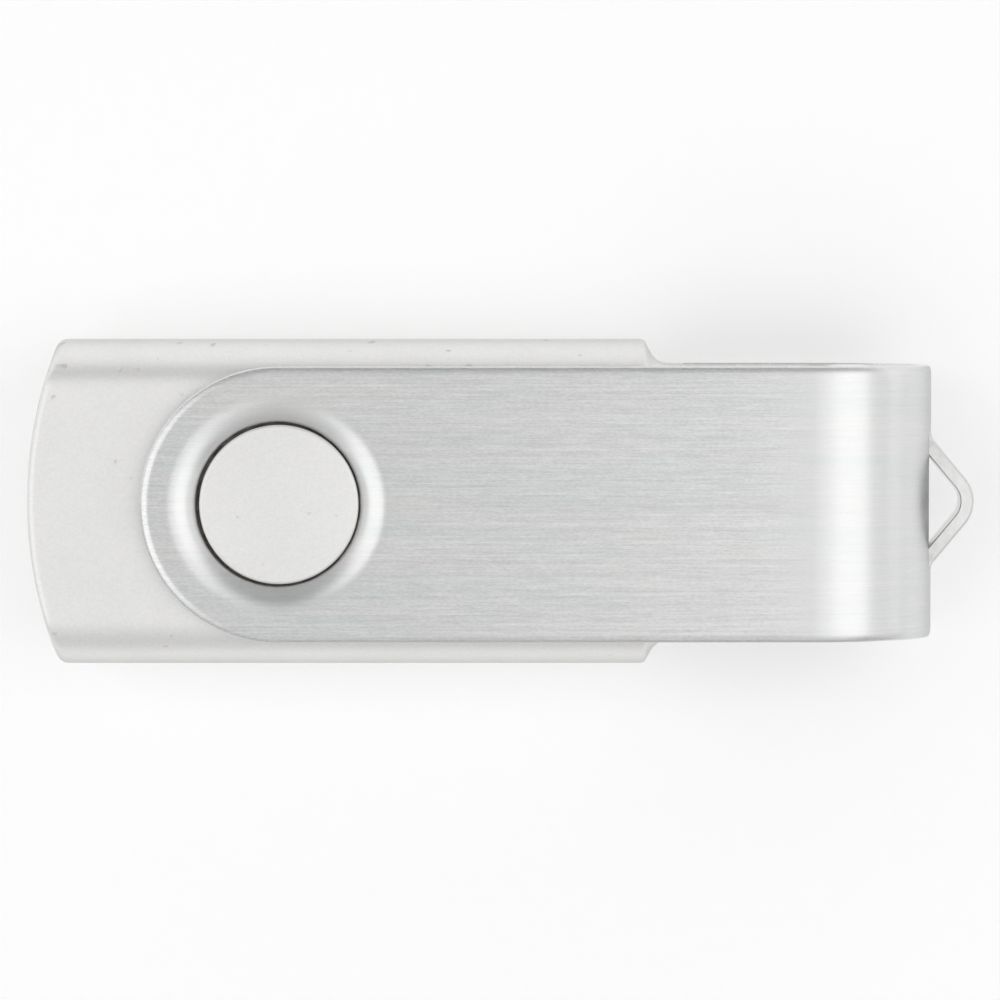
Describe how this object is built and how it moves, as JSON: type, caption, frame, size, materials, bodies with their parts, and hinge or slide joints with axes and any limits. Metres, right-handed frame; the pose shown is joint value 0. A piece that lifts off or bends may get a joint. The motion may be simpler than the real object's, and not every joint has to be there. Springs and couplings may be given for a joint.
{
  "type": "usb flash drive",
  "caption": "Flat USB type A flash drive: a silver housing pivoted in a folded brushed-metal cover that swings round over the plug and carries a key-ring loop on its bend.",
  "frame": {"origin": "middle of the drive's bounding box, on the surface that it lies on, with the cover closed over the plug", "axes": "+X along the drive, from the rounded tail to the plug and the key-ring loop; +Z out of the upper cover plate, along the pivot axis; +Y across the width"},
  "size_m": [0.0556, 0.019, 0.011],
  "materials": {
    "cover_aluminium": "brushed along the length, clear",
    "silver_paint": "satin silver paint on moulded plastic",
    "plug_steel": "bright nickel plate on folded steel",
    "plug_plastic": "plain white moulding",
    "contact_gold": "gold plate",
    "board_laminate": "green solder mask on glass-fibre laminate",
    "chip_mould": "matt black epoxy moulding",
    "crystal_can": "nickel plated can",
    "led_lens": "clear moulding over a white base",
    "capacitor_ceramic": "brown ceramic with tinned ends",
    "resistor_body": "black glaze with tinned ends"
  },
  "bodies": {
    "drive": {"housing_upper": "silver_paint", "housing_lower": "silver_paint", "plug_shell": "plug_steel", "plug_insulator": "plug_plastic", "contact_vbus": "contact_gold", "contact_data_minus": "contact_gold", "contact_data_plus": "contact_gold", "contact_ground": "contact_gold", "circuit_board": "board_laminate", "memory_chip": "chip_mould", "controller_chip": "chip_mould", "crystal": "crystal_can", "voltage_regulator": "chip_mould", "activity_led": "led_lens", "capacitor_1": "capacitor_ceramic", "capacitor_2": "capacitor_ceramic", "capacitor_3": "capacitor_ceramic", "capacitor_4": "capacitor_ceramic", "capacitor_5": "capacitor_ceramic", "resistor_1": "resistor_body", "resistor_2": "resistor_body", "resistor_3": "resistor_body", "resistor_4": "resistor_body"},
    "cover": {"swivel_cover": "cover_aluminium"}
  },
  "joints": [
    {"name": "cover_swivel", "type": "hinge", "parent": "drive", "child": "cover", "pos_m": [-0.01287, 0, 0.0055], "axis": [0, 0, 1], "continuous": true}
  ]
}
